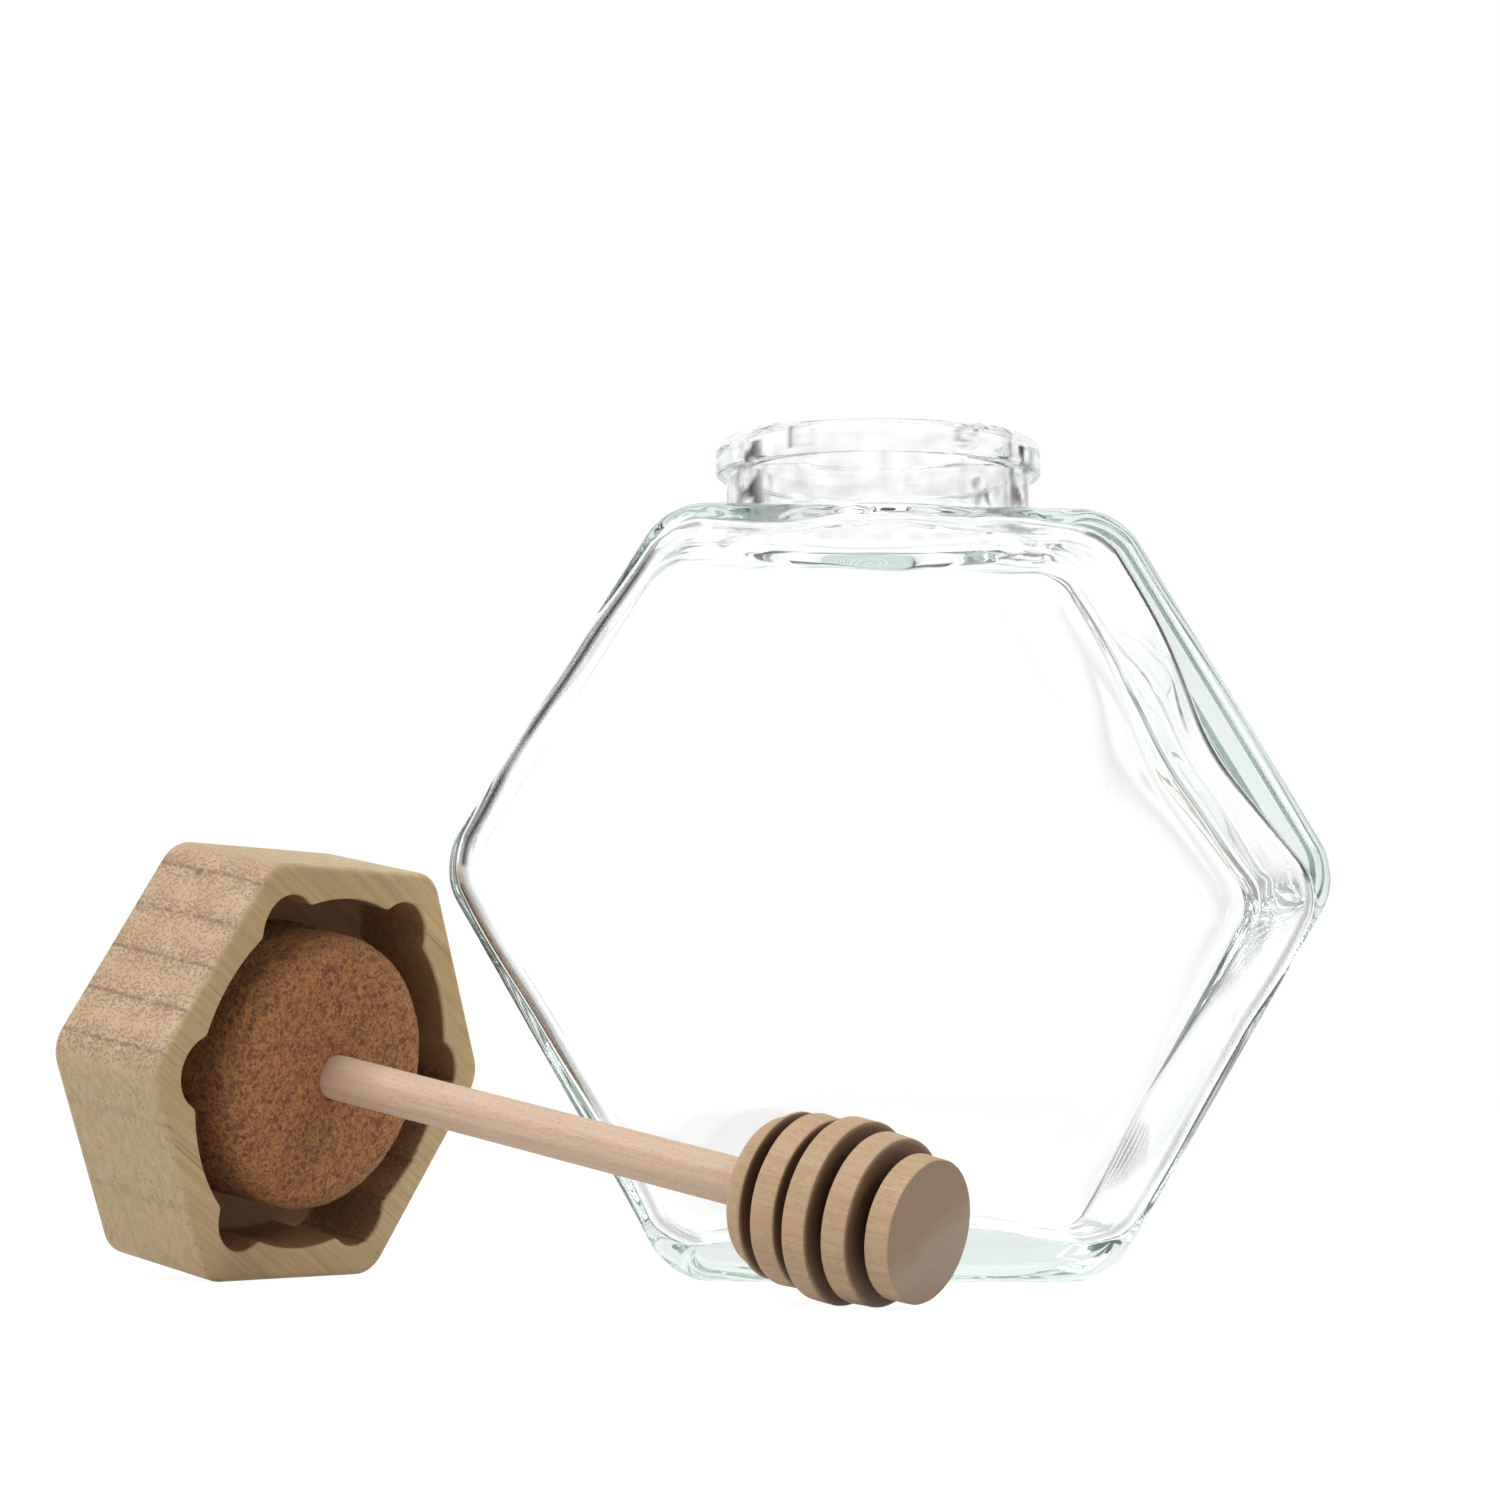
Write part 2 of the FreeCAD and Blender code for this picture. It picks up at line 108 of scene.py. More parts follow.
def seen_directly_or_in_glass(nodes, link):
    """1 for what the camera sees by itself, in a reflection or through glass, and 0 for plain light.

    The second result is 1 in a reflection or through glass only.
    """
    path = nodes.new("ShaderNodeLightPath")
    mirrored = calculate(nodes, link, "MAXIMUM", path.outputs["Is Glossy Ray"],
                         path.outputs["Is Transmission Ray"])
    return calculate(nodes, link, "MAXIMUM", path.outputs["Is Camera Ray"], mirrored), mirrored


def fade(nodes, link, value, start, end):
    """Smooth step of a value: 0 at start and 1 at end."""
    step = nodes.new("ShaderNodeMapRange")
    step.interpolation_type = "SMOOTHSTEP"
    link(value, step.inputs["Value"])
    step.inputs["From Min"].default_value = start
    step.inputs["From Max"].default_value = end
    return step.outputs["Result"]


def distance_off(nodes, link, first, second):
    """How far two numbers at right angles lead: the root of the sum of their squares."""
    return calculate(nodes, link, "SQRT", calculate(nodes, link, "ADD",
                     calculate(nodes, link, "POWER", first, 2), calculate(nodes, link, "POWER", second, 2)))


cards_round_set, card_dark = 8, 0.97


def dark_cards(nodes, link, east, north):
    """1 where black cards stand evenly round the set, and 0 between them.

    They are left out straight in front of the jar and straight behind it.
    """
    around = calculate(nodes, link, "ARCTAN2", north, east)
    turned = calculate(nodes, link, "COSINE", calculate(nodes, link, "MULTIPLY", around, cards_round_set))
    card = fade(nodes, link, turned, -0.15, -0.8)
    aside = calculate(nodes, link, "ABSOLUTE", calculate(nodes, link, "COSINE", around))
    return calculate(nodes, link, "MULTIPLY", card, fade(nodes, link, aside, 0.30, 0.9))


floor_half, floor_glow, glow_share = 6, 1.29, 0.72
cards_from, cards_full = 0.20, 0.28
floor_mesh = bmesh.new()
bmesh.ops.create_grid(floor_mesh, x_segments=1, y_segments=1, size=floor_half)
floor = bpy.data.objects.new("floor", bpy.data.meshes.new("floor"))
floor_mesh.to_mesh(floor.data)
bpy.context.scene.collection.objects.link(floor)
paper, nodes, link, output = new_material("white_sweep")
matt = nodes.new("ShaderNodeBsdfDiffuse")
matt.inputs["Color"].default_value = (0.8, 0.8, 0.8, 1)
glow = nodes.new("ShaderNodeEmission")
glow.inputs["Color"].default_value = (1, 1, 1, 1)
blend = nodes.new("ShaderNodeMixShader")
seen, mirrored = seen_directly_or_in_glass(nodes, link)
spot = nodes.new("ShaderNodeSeparateXYZ")
link(nodes.new("ShaderNodeTexCoord").outputs["Object"], spot.inputs[0])
away = distance_off(nodes, link, spot.outputs[0], spot.outputs[1])
cards = calculate(nodes, link, "MULTIPLY", dark_cards(nodes, link, spot.outputs[0], spot.outputs[1]),
                  fade(nodes, link, away, cards_from, cards_full))
dimmed = calculate(nodes, link, "MULTIPLY", calculate(nodes, link, "MULTIPLY", cards, mirrored), card_dark)
link(calculate(nodes, link, "SUBTRACT", floor_glow, dimmed), glow.inputs["Strength"])
link(calculate(nodes, link, "MULTIPLY", seen, glow_share), blend.inputs[0])
link(matt.outputs[0], blend.inputs[1])
link(glow.outputs[0], blend.inputs[2])
link(blend.outputs[0], output.inputs["Surface"])
floor.data.materials.append(paper)

# all round, the set gives plain even fill; in the glass it is brighter, with the cards and, higher up
# at the left and right, two dark panels
fill_strength, studio_glow = 0.36, 1.06
studio = bpy.data.worlds.new("studio")
bpy.context.scene.world = studio
studio.use_nodes = True
nodes, link = studio.node_tree.nodes, studio.node_tree.links.new
nodes.clear()
output = nodes.new("ShaderNodeOutputWorld")
seen, mirrored = seen_directly_or_in_glass(nodes, link)
split = nodes.new("ShaderNodeSeparateXYZ")
link(nodes.new("ShaderNodeTexCoord").outputs["Generated"], split.inputs[0])
cards = dark_cards(nodes, link, split.outputs[0], split.outputs[1])
panels = calculate(nodes, link, "MULTIPLY", fade(nodes, link, split.outputs[2], 0.27, 0.36),
                   fade(nodes, link, split.outputs[2], 0.75, 0.55))
sideways = calculate(nodes, link, "ABSOLUTE", split.outputs[0])
panels = calculate(nodes, link, "MULTIPLY", panels, fade(nodes, link, sideways, 0.5, 0.75))
dark = calculate(nodes, link, "MULTIPLY", calculate(nodes, link, "MAXIMUM", cards, panels), card_dark)
brightness = calculate(nodes, link, "SUBTRACT", studio_glow, dark)
fill = nodes.new("ShaderNodeBackground")
fill.inputs["Strength"].default_value = fill_strength
white = nodes.new("ShaderNodeBackground")
in_glass = nodes.new("ShaderNodeBackground")
link(brightness, in_glass.inputs["Strength"])
for background in (fill, white, in_glass):
    background.inputs["Color"].default_value = (1, 1, 1, 1)
plain_or_seen = nodes.new("ShaderNodeMixShader")
link(seen, plain_or_seen.inputs[0])
link(fill.outputs[0], plain_or_seen.inputs[1])
link(white.outputs[0], plain_or_seen.inputs[2])
with_glass = nodes.new("ShaderNodeMixShader")
link(mirrored, with_glass.inputs[0])
link(plain_or_seen.outputs[0], with_glass.inputs[1])
link(in_glass.outputs[0], with_glass.inputs[2])
link(with_glass.outputs[0], output.inputs["Surface"])

aim = (cad_box[0] + cad_box[1]) / 2


def soft_lamp(name, spot, width, watts):
    """Square area lamp that faces the object."""
    lamp = bpy.data.lights.new(name, "AREA")
    lamp.shape = "SQUARE"
    lamp.size = width
    lamp.energy = watts
    holder = bpy.data.objects.new(name, lamp)
    holder.location = spot
    holder.rotation_euler = (aim - Vector(spot)).to_track_quat("-Z", "Y").to_euler()
    bpy.context.scene.collection.objects.link(holder)


soft_lamp("key_lamp", (-0.52, -0.42, 0.95), 0.45, 7.8)
soft_lamp("side_lamp", (0.95, -0.42, 0.66), 0.35, 2.8)


# ---- Glass jar ---------------------------------------------------------------------------------
# Soda-lime glass blown in a two-part mould: the outside takes the mould's flat faces and round
# edges, and the inside is free, so the wall wanders. The neck has a thick rolled bead.

body_height, side_height = 105 * mm, 55 * mm
base_half, reach, shoulder_half = 29.3 * mm, 61.3 * mm, 30.9 * mm
body_depth = 56 * mm
wall = 3 * mm
same_place, hair = 0.001 * mm, 0.01 * mm


def hexagon_corners(depths):
    """Corners of the jar's hexagon seen from the front, each side moved in by its own depth.

    The sides run anticlockwise from the base.
    """
    outer = [Vector(p) for p in ((-base_half, 0), (base_half, 0), (reach, side_height),
                                 (shoulder_half, body_height), (-shoulder_half, body_height),
                                 (-reach, side_height))]
    sides = []
    for index, depth in enumerate(depths):
        start, end = outer[index], outer[(index + 1) % 6]
        along = (end - start).normalized()
        sides.append((start + Vector((-along.y, along.x)) * depth, along))
    corners = []
    for (p, d), (q, e) in zip(sides[-1:] + sides[:-1], sides):
        corners.append(p + d * ((q - p).cross(e) / d.cross(e)))
    return corners


def draw_on(mesh, rim, shift):
    """Extrude an open rim of edges and move each new vertex to where shift puts it; gives the new rim."""
    grown = bmesh.ops.extrude_edge_only(mesh, edges=rim)["geom"]
    verts = {part for part in grown if isinstance(part, bmesh.types.BMVert)}
    for vert in verts:
        vert.co = shift(vert.co)
    return [part for part in grown if isinstance(part, bmesh.types.BMEdge) and set(part.verts) <= verts]


corner_cuts, side_cuts, depth_cuts, round_cuts = 10, 39, 36, 8
painted_line_ring = round_cuts // 2
middle_height, half_width = 52.5 * mm, 49 * mm
shortest_side = 8 * mm


def hexagon_shell(corners, corner_reach, depth, front_round, back_round, rings):
    """Closed shell of the rounded hexagon drawn along Y; front_round and back_round round its two rims.

    Each point's painted darkness is 1 along the fold half way round the front rim, and 0 away from it: a
    painted dark line that stands in for the dark reflections the glass shows there.
    """
    mesh = bmesh.new()
    painted_dark_reflection = mesh.verts.layers.float.new("painted_dark_reflection")
    painted_line_points = []
    ring = [mesh.verts.new((x, 0, z)) for x, z in corners]
    mesh.faces.new(ring)
    bmesh.ops.bevel(mesh, geom=ring, affect="VERTICES", offset_type="OFFSET", offset=corner_reach,
                    segments=corner_cuts, profile=0.5, material=-1)
    plate = max(mesh.faces, key=lambda face: len(face.verts))
    sides = [edge for edge in plate.edges if edge.calc_length() > shortest_side]
    bmesh.ops.subdivide_edges(mesh, edges=sides, cuts=side_cuts)
    first_rim = list(plate.edges)
    bmesh.ops.delete(mesh, geom=[plate], context="FACES_ONLY")
    for vert in mesh.verts:
        vert.co.y = front_round(vert.co) - depth / 2
    last_rim = first_rim
    for step in range(depth_cuts):
        def step_back(place):
            end = depth / 2 - back_round(place)
            return Vector((place.x, place.y + (end - place.y) / (depth_cuts - step), place.z))

        last_rim = draw_on(mesh, last_rim, step_back)
    for rim, way, rounding in ((first_rim, -1, front_round), (last_rim, 1, back_round)):
        for step in range(1, round_cuts + 1):
            turn = math.radians(90) * step / round_cuts
            last_turn = math.radians(90) * (step - 1) / round_cuts

            def over_rim(place):
                radius = rounding(place)
                shrink = (1 - radius / half_width * (1 - math.cos(turn))) \
                    / (1 - radius / half_width * (1 - math.cos(last_turn)))
                return Vector((place.x * shrink, way * (depth / 2 - radius * (1 - math.sin(turn))),
                               middle_height + (place.z - middle_height) * shrink))

            rim = draw_on(mesh, rim, over_rim)
            # the middle rings of the front rim get the painted dark line that stands in for the glass's dark
            # reflections
            rings_off_painted_line = abs(step - painted_line_ring)
            if way < 0 and rings_off_painted_line <= 1:
                painted_line_points += [(vert, 1 - 0.25 * rings_off_painted_line) for edge in rim for vert in edge.verts]
        for ring in range(1, rings):
            share = (rings - ring) / (rings - ring + 1)
            rim = draw_on(mesh, rim, lambda place: Vector((place.x * share, place.y,
                          middle_height + (place.z - middle_height) * share)))
        bmesh.ops.contextual_create(mesh, geom=rim)
    for vert in mesh.verts:
        vert[painted_dark_reflection] = 0
    for vert, amount in painted_line_points:
        vert[painted_dark_reflection] = amount
    return mesh


def open_top(mesh, height, half_depth):
    """Cut the flat strip on top of a shell away, for the neck; gives the edges round the hole."""
    strip = {face for face in mesh.faces
             if all(abs(vert.co.z - height) < same_place and abs(vert.co.y) < half_depth + same_place
                    for vert in face.verts)}
    rim = [edge for face in strip for edge in face.edges
           if sum(beside in strip for beside in edge.link_faces) == 1]
    bmesh.ops.delete(mesh, geom=list(strip), context="FACES")
    return rim


def turn_neck(mesh, rim, profile):
    """Draw a rim on through rings about the neck's axis, each a radius and a height; gives the last."""
    for radius, height in profile:
        def on_ring(place):
            return (place.xy.normalized() * radius).to_3d() + Vector((0, 0, height))

        rim = draw_on(mesh, rim, on_ring)
    return rim


def bend(middle, radius, start, end, steps):
    """Points of an arc in the neck's profile, its angles in degrees from straight outward."""
    turns = [math.radians(start + (end - start) * step / steps) for step in range(steps + 1)]
    return [(middle[0] + radius * math.cos(turn), middle[1] + radius * math.sin(turn)) for turn in turns]


outer_corner, mould_edge = 5.2 * mm, 3.5 * mm


def mould_round(place):
    """Rounding of both rims outside, the same all round."""
    return mould_edge


glass = hexagon_shell(hexagon_corners([0] * 6), outer_corner, body_depth, mould_round, mould_round, rings=6)

# the base is pushed up in the middle, so that the jar stands on the edge of it, and only the hollow
# keeps its painted dark line, which stands in for the glass's dark reflections
push_up, push_up_x, push_up_y = 1.3 * mm, 25 * mm, 21 * mm
for vert in glass.verts:
    vert[glass.verts.layers.float["painted_dark_reflection"]] = 0
    if vert.co.z < hair:
        middle = max(0, 1 - (vert.co.x / push_up_x) ** 2) * max(0, 1 - (vert.co.y / push_up_y) ** 2)
        vert.co.z += push_up * middle ** 0.7

bore, neck, bead = 19 * mm, 21.7 * mm, 23.3 * mm
lip = 118 * mm
root, under_bead, foot, crown, mouth = 1.4 * mm, 0.5 * mm, 0.7 * mm, 2 * mm, 0.7 * mm
bead_foot = lip - 5.1 * mm
turn_neck(glass, open_top(glass, body_height, body_depth / 2 - mould_edge), (
          bend((neck + root, body_height + root), root, 270, 180, 6)
          + [(neck, body_height + (2 + 0.7 * step) * mm) for step in range(8)]
          + bend((neck + under_bead, bead_foot - under_bead), under_bead, 180, 90, 4)
          + bend((bead - foot, bead_foot + foot), foot, 270, 360, 5)
          + [(bead, bead_foot + (1.1 + 0.35 * step) * mm) for step in range(6)]
          + bend((bead - crown, lip - crown), crown, 0, 90, 8)
          + bend((bore + mouth, lip - mouth), mouth, 90, 180, 5)))

# the hollow: the wall's thickness in millimetres at each side, anticlockwise from the floor
floor_wall, ceiling_wall = 4.6, 2.4
side_walls = (floor_wall, 1.7, 3.0, ceiling_wall, 1.5, 2.1)
inner_corner, front_fold = 4.2 * mm, 1.8 * mm
back_fold, back_fold_wider, widest_turn = 2.2, 7.0, 22


def front_inner_round(place):
    """Rounding of the hollow's front rim, the same all round."""
    return front_fold


def back_inner_round(place):
    """Rounding of the hollow's back rim: tight on the left, wide and soft on the upper right."""
    turn = math.degrees(math.atan2(place.z - middle_height, place.x))
    near_widest = max(0, math.cos(math.radians(min(90, abs(turn - widest_turn) * 1.5))))
    return (back_fold + back_fold_wider * near_widest ** 1.5) * mm


ceiling = body_height - ceiling_wall * mm
hollow_depth = body_depth - 2 * wall
flare = 3.2 * mm
hollow = hexagon_shell(hexagon_corners([thickness * mm for thickness in side_walls]), inner_corner,
                       hollow_depth, front_inner_round, back_inner_round, rings=26)
turn_neck(hollow, open_top(hollow, ceiling, hollow_depth / 2 - back_fold * mm),
          bend((bore + flare, ceiling + flare), flare, 270, 180, 8)
          + [(bore, height * mm) for height in range(107, 117)])


def uneven(place, size, shift=(0, 0, 0)):
    """Smooth unevenness between -1 and 1 at a place, in swells of a size in millimetres."""
    return noise.noise(place / (size * mm) + Vector(shift))


# the free inner surface: its sides wander, the upper right wall bulges inward, most at the back, the
# faces, floor and ceiling ripple, the floor rises to a dome, and the painted dark line along the fold,
# which stands in for the glass's dark reflections, comes and goes
bulge_turn, bulge_spread = 24, 14
dome_rise, dome_x, dome_y, dome_reach = 4.6 * mm, 27 * mm, 42 * mm, 25 * mm
neck_hold, side_reach = 27 * mm, 46 * mm
painted_dark_reflection = hollow.verts.layers.float["painted_dark_reflection"]
for vert in hollow.verts:
    place = vert.co.copy()
    flat = Vector((place.x, place.z - middle_height))
    turn = math.degrees(math.atan2(flat.y, flat.x))
    side = min(1, flat.length / side_reach)
    hold = max(0, 1 - (place.xy.length / neck_hold) ** 4) if place.z > 90 * mm else 0
    wander = uneven(Vector((place.x, place.y * 0.4, place.z)), 17) * 0.75 * mm
    bulge = (3.0 + 70 * max(0, place.y)) * mm * math.exp(-((turn - bulge_turn) / bulge_spread) ** 2)
    push = flat.normalized() * (wander - bulge) * side ** 4 * (1 - hold)
    ripple = uneven(place, 19, (7, 3, 5)) * 0.12 * mm * (1 - side ** 6)
    vert.co += Vector((push.x, ripple if abs(place.y) > 20 * mm else 0, push.y))
    if place.z > ceiling + 0.1 * mm:
        vert.co += place.xy.normalized().to_3d() * (uneven(place, 9) * 0.13 * mm)
    elif place.z > 100 * mm or place.z < 7 * mm:
        vert.co.z += uneven(place, 9) * 0.45 * mm + uneven(place, 3.5) * 0.16 * mm
    if place.z < 30 * mm:
        dome = max(0, 1 - (place.x / dome_x) ** 2) * max(0, 1 - (place.y / dome_y) ** 2)
        vert.co.z += dome_rise * dome ** 1.3 * max(0, 1 - (place.z - floor_wall * mm) / dome_reach)
    # the painted dark line is weaker in the lower half and weakest along the floor and ceiling
    strength = 1 if place.z > side_height else 0.6
    if 62 < abs(turn) < 118:
        strength = 0.25
    vert[painted_dark_reflection] *= strength * max(0.5, min(1, 1.0 + 0.9 * uneven(place, 13, (2, 8, 1))))
hollow_mesh = bpy.data.meshes.new("hollow")
hollow.to_mesh(hollow_mesh)
glass.from_mesh(hollow_mesh)
bpy.data.meshes.remove(hollow_mesh)
bmesh.ops.bridge_loops(glass, edges=[edge for edge in glass.edges if edge.is_boundary])

# two small lugs left by the ring mould stand on the front of the bead; painted grey stands in for their
# reflections, towards the edges of the left one and in patches on the right one, and the neck has painted
# grey reflections all round, strongest at its left and right; a lug has its middle and half its width in
# degrees
lugs = ((-121.5, 5.2, False), (-63, 5, True))
lug_rise, lug_half_height, lug_drop = 0.35 * mm, 1.5 * mm, 2.6 * mm
painted_dark_reflection = glass.verts.layers.float["painted_dark_reflection"]
for vert in glass.verts:
    turn = math.degrees(math.atan2(vert.co.y, vert.co.x))
    radius = vert.co.xy.length
    for lug, half_turn, patchy_painted_grey in lugs:
        aside = (turn - lug) / half_turn
        up = abs(vert.co.z - (lip - lug_drop)) / lug_half_height
        if vert.co.z > bead_foot and radius > bead - 1.2 * mm and abs(aside) < 1 and up < 1:
            vert.co.xy *= 1 + lug_rise / radius * min(1, 4 * (1 - abs(aside))) * min(1, 3 * (1 - up))
            # painted grey that stands in for the lug's reflections
            if patchy_painted_grey:
                lug_painted_grey = uneven(vert.co, 0.5) + 0.2
            else:
                lug_painted_grey = max(-1.2 * aside, abs(aside) * 0.8, up * 0.7) - 0.4
            vert[painted_dark_reflection] = max(0, min(0.9, lug_painted_grey))
    # painted grey reflections on the neck, strongest at its left and right
    if body_height + 2 * mm < vert.co.z < lip - 2.5 * mm and radius > neck - 0.2 * mm:
        aside = abs(abs(vert.co.x) - 0.88 * neck) / (2.6 * mm)
        reflection_noise = uneven(vert.co, 2.2, (4, 4, 1))
        painted_reflection = max(0, min(1, 1.2 - aside)) * max(0, min(0.95, 0.40 + 2.2 * reflection_noise))
        vert[painted_dark_reflection] = max(vert[painted_dark_reflection], painted_reflection, 0.10 + 0.25 * reflection_noise)
bmesh.ops.recalc_face_normals(glass, faces=glass.faces)

jar = bpy.data.objects.new("jar_glass", bpy.data.meshes.new("jar_glass"))
glass.to_mesh(jar.data)
jar.data.shade_smooth()
bpy.context.scene.collection.objects.link(jar)


def mixed(nodes, link, share, first, second, blend="MIX"):
    """Mix of two colours, each a socket or three numbers."""
    node = nodes.new("ShaderNodeMix")
    node.data_type = "RGBA"
    node.blend_type = blend
    for socket, source in zip((node.inputs[0], node.inputs[6], node.inputs[7]), (share, first, second)):
        if isinstance(source, tuple):
            socket.default_value = (*source, 1)
        elif isinstance(source, (int, float)):
            socket.default_value = source
        else:
            link(source, socket)
    return node.outputs[2]


# the painted dark line darkens the glass and blocks most of what comes through it, standing in for the
# glass's dark reflections, and the lamps' light passes straight through the walls
material, nodes, link, output = new_material("clear_glass")
clear = nodes.new("ShaderNodeBsdfPrincipled")
# painted dark line, standing in for dark reflections in the glass
dark_reflection_paint = nodes.new("ShaderNodeAttribute")
dark_reflection_paint.attribute_name = "painted_dark_reflection"
link(mixed(nodes, link, dark_reflection_paint.outputs["Fac"], (1, 1, 1), (0.030, 0.022, 0.035)), clear.inputs["Base Color"])
link(calculate(nodes, link, "SUBTRACT", 1, calculate(nodes, link, "MULTIPLY", dark_reflection_paint.outputs["Fac"], 0.9)),
     clear.inputs["Transmission Weight"])
clear.inputs["Roughness"].default_value = 0
clear.inputs["IOR"].default_value = 1.5
lamp_way = nodes.new("ShaderNodeBsdfTransparent")
lamp_way.inputs["Color"].default_value = (0.93, 0.95, 0.94, 1)
path = nodes.new("ShaderNodeLightPath")
through = nodes.new("ShaderNodeMixShader")
link(path.outputs["Is Shadow Ray"], through.inputs[0])
link(clear.outputs[0], through.inputs[1])
link(lamp_way.outputs[0], through.inputs[2])
link(through.outputs[0], output.inputs["Surface"])
tint = nodes.new("ShaderNodeVolumeAbsorption")
tint.inputs["Color"].default_value = (0.52, 0.65, 0.595, 1)
tint.inputs["Density"].default_value = 11
link(tint.outputs[0], output.inputs["Volume"])
jar.data.materials.append(material)
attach(jar, "root")
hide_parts("glass_jar")


# ---- Bamboo lid --------------------------------------------------------------------------------
# Six-sided block glued up from bamboo strips 6.5 mm thick and milled out for the cork and the jar's
# bead, with a small lobe in each corner. It lies tipped on its edge, held up by the dipper.

lid_middle = Vector((-75.825, -23.0, 27.184)) * mm
lid_turn, lid_tip = math.radians(51), math.radians(10.667)
lid_right = Vector((math.cos(lid_turn), math.sin(lid_turn), 0))
lid_out = Vector((math.sin(lid_turn) * math.cos(lid_tip), -math.cos(lid_turn) * math.cos(lid_tip),
                  -math.sin(lid_tip)))
lid_up = lid_out.cross(lid_right)
lying = Matrix.LocRotScale(lid_middle, Matrix((lid_right, lid_up, lid_out)).transposed(), None)

half_flat, lid_thickness, corner_soft, edge_soft = 27.85 * mm, 19.3 * mm, 5 * mm, 1.1 * mm
hollow_radius, hollow_floor, rim_soft = 23.65 * mm, 12.5 * mm, 0.4 * mm
lobe_radius, lobe_middle, cusp_soft = 4.8 * mm, 21.85 * mm, 0.5 * mm
hollow_depths = (2, 4, 6, 8, 10, 11.9)
inside_edge, outside_rim, past_cork = 1.3 * mm, 0.6 * mm, 20 * mm
sixth, twelfth = math.radians(60), math.radians(30)


def block_reach(turn, inset):
    """Distance from the lid's axis to the block's outline, moved in by inset, at a turn about the axis."""
    flat, soft = half_flat - inset, corner_soft - inset
    aside = abs(turn % sixth - twelfth)
    if math.tan(aside) * flat < (flat - soft) * math.tan(twelfth):
        return flat / math.cos(aside)
    middle = (flat - soft) / math.cos(twelfth)
    half_chord = math.sqrt(soft ** 2 - (middle * math.sin(twelfth - aside)) ** 2)
    return middle * math.cos(twelfth - aside) + half_chord


def hollow_reach(turn, inset):
    """Distance from the lid's axis to the milled hollow's wall and its lobes, moved in by inset."""
    aside = abs((turn + twelfth) % sixth - twelfth)
    lobe = math.sqrt(max(0, (lobe_radius - inset) ** 2 - (lobe_middle * math.sin(aside)) ** 2))
    beyond = lobe_middle * math.cos(aside) + lobe - (hollow_radius - inset)
    return hollow_radius - inset + (beyond + math.hypot(beyond, cusp_soft)) / 2


def draw_outlines(mesh, rim, outlines):
    """Draw a rim on through outlines, each a reach at a turn and a height; gives the last rim."""
    for reach, height in outlines:
        def on_outline(place):
            turn = math.atan2(place.y, place.x)
            return Vector((reach(turn) * math.cos(turn), reach(turn) * math.sin(turn), height))

        rim = draw_on(mesh, rim, on_outline)
    return rim


def edge_outlines(depth_at, steps=6):
    """Outlines over a rounded edge of the block; depth_at gives the height at a share of the turn."""
    arcs = [math.radians(90) * step / steps for step in range(1, steps + 1)]
    return [(lambda turn, inset=edge_soft * (1 - math.cos(arc)): block_reach(turn, inset),
             depth_at(math.sin(arc))) for arc in arcs]


lid = bmesh.new()
bmesh.ops.create_circle(lid, segments=720, radius=half_flat)
for vert in lid.verts:
    turn = math.atan2(vert.co.y, vert.co.x)
    vert.co = (block_reach(turn, 0) * math.cos(turn), block_reach(turn, 0) * math.sin(turn), -edge_soft)
side_rim = list(lid.edges)
open_face = [(lambda turn, share=share: block_reach(turn, inside_edge) * (1 - share)
              + hollow_reach(turn, -outside_rim) * share, 0) for share in (0, 0.25, 0.5, 0.75, 1)]
hollow_rim = [(lambda turn, out=rim_soft * (1 - math.sin(arc)): hollow_reach(turn, -out),
               -rim_soft * (1 - math.cos(arc))) for arc in [math.radians(90) * step / 4 for step in range(5)]]
hollow_side = [(lambda turn: hollow_reach(turn, 0), -depth * mm) for depth in hollow_depths]
hollow_end = [(lambda turn: hollow_reach(turn, 0.15 * mm), -hollow_floor + 0.2 * mm),
              (lambda turn: hollow_reach(turn, 0.6 * mm), -hollow_floor),
              (lambda turn: past_cork, -hollow_floor)]
front_rim = draw_outlines(lid, side_rim, edge_outlines(lambda up: edge_soft * (up - 1))
                          + open_face + hollow_rim + hollow_side + hollow_end)
bmesh.ops.contextual_create(lid, geom=front_rim)
outer_side = [(lambda turn: block_reach(turn, 0), -depth * mm) for depth in (6, 12, 18.2)]
back_rim = draw_outlines(lid, side_rim, outer_side
                         + edge_outlines(lambda up: edge_soft * (1 - up) - lid_thickness)
                         + [(lambda turn: block_reach(turn, inside_edge), -lid_thickness)])
bmesh.ops.contextual_create(lid, geom=back_rim)
bmesh.ops.recalc_face_normals(lid, faces=lid.faces)


def lay_down(mesh, name):
    """Lay a finished piece of the lid down in its place, as an object that stands for its CAD node."""
    bmesh.ops.transform(mesh, matrix=lying, verts=mesh.verts)
    piece = bpy.data.objects.new(name + "_wood", bpy.data.meshes.new(name + "_wood"))
    mesh.to_mesh(piece.data)
    piece.data.shade_smooth()
    bpy.context.scene.collection.objects.link(piece)
    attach(piece, "root")
    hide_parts(name)
    return piece


lid_piece = lay_down(lid, "bamboo_lid")


def in_piece(nodes, link, axes):
    """Place on the surface in millimetres along three axes from the lid's middle; gives it and its parts."""
    turned = nodes.new("ShaderNodeMapping")
    turned.vector_type = "TEXTURE"
    link(nodes.new("ShaderNodeTexCoord").outputs["Object"], turned.inputs["Vector"])
    turned.inputs["Location"].default_value = lid_middle
    turned.inputs["Rotation"].default_value = Matrix(axes).transposed().to_euler()
    turned.inputs["Scale"].default_value = (mm, mm, mm)
    parts = nodes.new("ShaderNodeSeparateXYZ")
    link(turned.outputs[0], parts.inputs[0])
    return turned.outputs[0], parts.outputs


